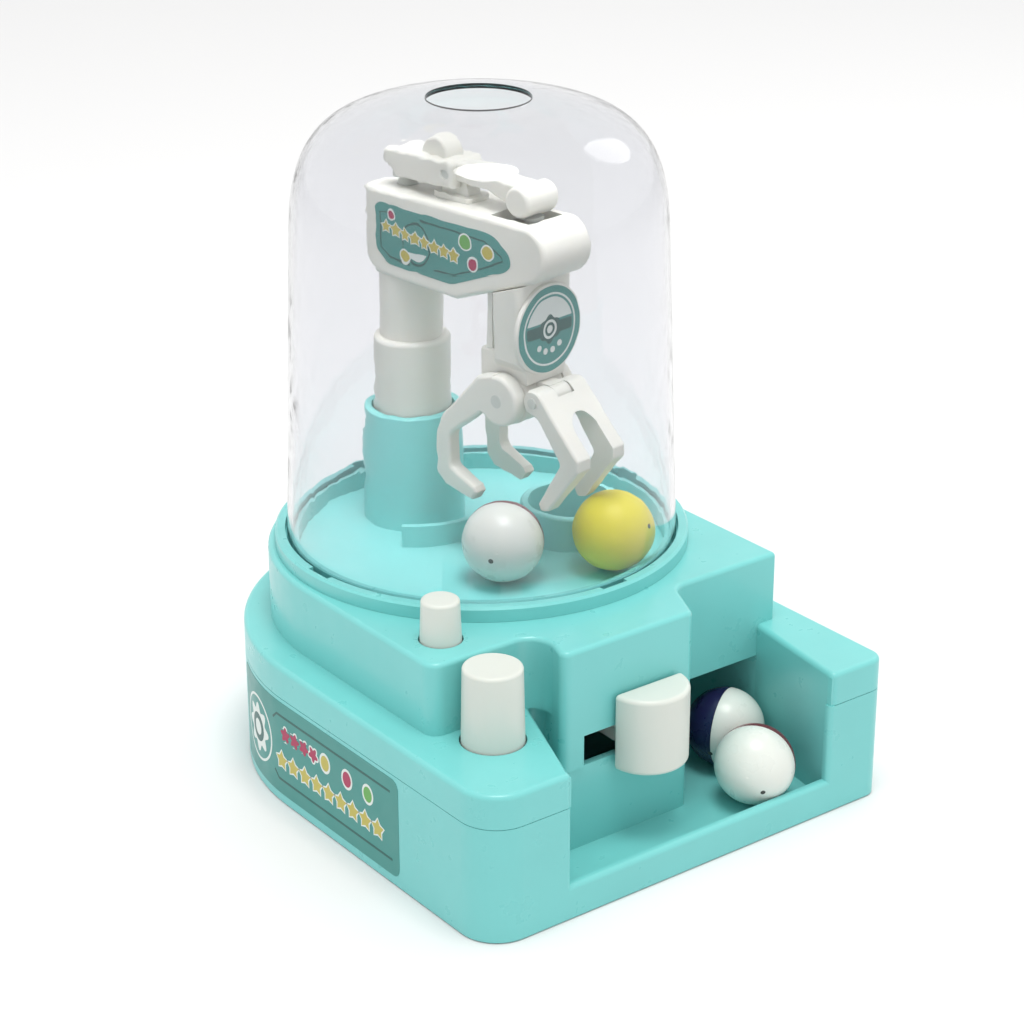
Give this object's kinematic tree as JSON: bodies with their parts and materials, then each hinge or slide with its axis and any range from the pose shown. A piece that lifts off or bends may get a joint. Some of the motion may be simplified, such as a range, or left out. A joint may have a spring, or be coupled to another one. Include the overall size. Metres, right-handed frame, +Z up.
{
  "type": "claw crane machine toy",
  "caption": "Desktop toy claw machine: round-backed casing with an open tray, clear dome, swinging lifting arm, pinching claw, push buttons and loose capsules.",
  "frame": {"origin": "middle of the underside below the dome's axis, on the surface the machine stands on", "axes": "+Z up, -Y towards the player, +X to the player's right"},
  "size_m": [0.1466, 0.1741, 0.2035],
  "materials": {
    "mint_plastic": "gloss",
    "ivory_plastic": "gloss",
    "clear_plastic": "clear",
    "teal_label": "satin",
    "steel": "satin",
    "grey_rubber": "matte",
    "capsule_white": "gloss",
    "capsule_yellow": "gloss",
    "capsule_red": "gloss",
    "capsule_navy": "gloss"
  },
  "bodies": {
    "base": {"lower_base": "mint_plastic", "upper_cover": "mint_plastic", "bottom_plate": "mint_plastic", "base_screws": "steel", "feet": "grey_rubber", "play_deck": "mint_plastic", "collar_ring": "mint_plastic", "side_label": "teal_label", "lever_pins": "steel", "big_spring": "steel", "small_spring": "steel"},
    "dome": {"dome": "clear_plastic"},
    "column": {"column_sleeve": "ivory_plastic", "crank": "ivory_plastic"},
    "swing_lever": {"swing_lever": "ivory_plastic"},
    "knob": {"lever_knob": "ivory_plastic", "knob_slider": "ivory_plastic"},
    "arm": {"lift_tube": "ivory_plastic", "arm_head": "ivory_plastic", "rocker_bracket": "ivory_plastic", "rocker_pin": "ivory_plastic", "carrier": "ivory_plastic", "rear_block": "ivory_plastic", "rail_plate": "ivory_plastic", "badge_boss": "ivory_plastic", "badge": "teal_label", "arm_label": "teal_label", "front_axle": "ivory_plastic"},
    "claw_rod": {"claw_rod": "ivory_plastic"},
    "claw_rocker": {"claw_rocker": "ivory_plastic"},
    "plunger": {"plunger": "ivory_plastic"},
    "front_jaw": {"jaw_front": "ivory_plastic"},
    "rear_jaw": {"jaw_rear_left": "ivory_plastic", "jaw_rear_right": "ivory_plastic", "jaw_rear_axle": "ivory_plastic"},
    "big_button": {"big_button": "ivory_plastic"},
    "lift_lever": {"lift_lever": "ivory_plastic"},
    "small_button": {"small_button": "ivory_plastic"},
    "claw_lever": {"claw_lever": "ivory_plastic"},
    "capsule_a": {"ball_a_top": "capsule_red", "ball_a_bottom": "capsule_white"},
    "capsule_b": {"ball_b_top": "capsule_yellow", "ball_b_bottom": "capsule_yellow"},
    "capsule_c": {"ball_c_top": "capsule_red", "ball_c_bottom": "capsule_white"},
    "capsule_d": {"ball_d_top": "capsule_navy", "ball_d_bottom": "capsule_white"}
  },
  "joints": [
    {"name": "dome_twist", "type": "hinge", "parent": "base", "child": "dome", "pos_m": [0, 0, 0.07], "axis": [0, 0, 1], "range_deg": [-14, 0]},
    {"name": "column_swing", "type": "hinge", "parent": "base", "child": "column", "pos_m": [-0.005, 0.0285, 0.042], "axis": [0, 0, 1], "range_deg": [0, 24.1]},
    {"name": "swing_lever_turn", "type": "hinge", "parent": "base", "child": "swing_lever", "pos_m": [-0.005, -0.0205, 0.0346], "axis": [0, 0, 1], "range_deg": [-16, 0]},
    {"name": "knob_slide", "type": "slide", "parent": "base", "child": "knob", "axis": [1, 0, 0], "range_m": [-0.0155, 0]},
    {"name": "arm_lift", "type": "slide", "parent": "column", "child": "arm", "axis": [0, 0, 1], "range_m": [0, 0.0081]},
    {"name": "big_press", "type": "slide", "parent": "base", "child": "big_button", "axis": [0, 0, -1], "range_m": [0, 0.012], "stiffness_N_per_m": 120, "springref_m": -0.004, "deforming": ["big_spring"]},
    {"name": "lift_lever_turn", "type": "hinge", "parent": "base", "child": "lift_lever", "pos_m": [-0.02364, -0.01286, 0.02], "axis": [0.9117, -0.4109, 0], "range_deg": [0, 10.3]},
    {"name": "small_press", "type": "slide", "parent": "base", "child": "small_button", "axis": [0, 0, -1], "range_m": [0, 0.005], "stiffness_N_per_m": 100, "springref_m": -0.003, "deforming": ["small_spring"]},
    {"name": "claw_lever_turn", "type": "hinge", "parent": "base", "child": "claw_lever", "pos_m": [-0.02282, -0.00166, 0.01], "axis": [0.8609, -0.5088, 0], "range_deg": [0, 5.1]},
    {"name": "rod_lift", "type": "slide", "parent": "arm", "child": "claw_rod", "axis": [0, 0, 1], "range_m": [0, 0.0031]},
    {"name": "rocker_turn", "type": "hinge", "parent": "arm", "child": "claw_rocker", "pos_m": [-0.00137, 0.0068, 0.181], "axis": [0.9863, 0.165, 0], "range_deg": [0, 9]},
    {"name": "plunger_push", "type": "slide", "parent": "arm", "child": "plunger", "axis": [0, 0, -1], "range_m": [0, 0.0043]},
    {"name": "front_jaw_close", "type": "hinge", "parent": "arm", "child": "front_jaw", "pos_m": [0.00482, -0.03018, 0.121], "axis": [0.9863, 0.165, 0], "range_deg": [0, 8.3]},
    {"name": "rear_jaw_close", "type": "hinge", "parent": "arm", "child": "rear_jaw", "pos_m": [0.00289, -0.01864, 0.1193], "axis": [-0.9863, -0.165, 0], "range_deg": [0, 8.3]},
    {"name": "capsule_a_spin", "type": "hinge", "parent": "base", "child": "capsule_a", "pos_m": [-0.0132, -0.0283, 0.0788], "axis": [0, 0, 1], "continuous": true},
    {"name": "capsule_b_spin", "type": "hinge", "parent": "base", "child": "capsule_b", "pos_m": [0.01745, -0.04135, 0.0788], "axis": [0, 0, 1], "continuous": true},
    {"name": "capsule_c_spin", "type": "hinge", "parent": "base", "child": "capsule_c", "pos_m": [0.0326, -0.0904, 0.0165], "axis": [0, 0, 1], "continuous": true},
    {"name": "capsule_d_spin", "type": "hinge", "parent": "base", "child": "capsule_d", "pos_m": [0.0412, -0.0674, 0.0165], "axis": [0, 0, 1], "continuous": true}
  ],
  "couplings": [
    {"joint": "swing_lever_turn", "follows": "column_swing", "ratio": -0.64},
    {"joint": "knob_slide", "follows": "column_swing", "m_per_rad": -0.0363},
    {"joint": "arm_lift", "follows": "big_press", "ratio": 0.66667},
    {"joint": "lift_lever_turn", "follows": "big_press", "rad_per_m": 14.695},
    {"joint": "claw_lever_turn", "follows": "small_press", "rad_per_m": 17.202},
    {"joint": "rod_lift", "follows": "small_press", "ratio": 0.60256},
    {"joint": "rocker_turn", "follows": "small_press", "rad_per_m": 30.128},
    {"joint": "plunger_push", "follows": "small_press", "ratio": 0.84359},
    {"joint": "front_jaw_close", "follows": "small_press", "rad_per_m": 27.925},
    {"joint": "rear_jaw_close", "follows": "small_press", "rad_per_m": 27.925}
  ]
}
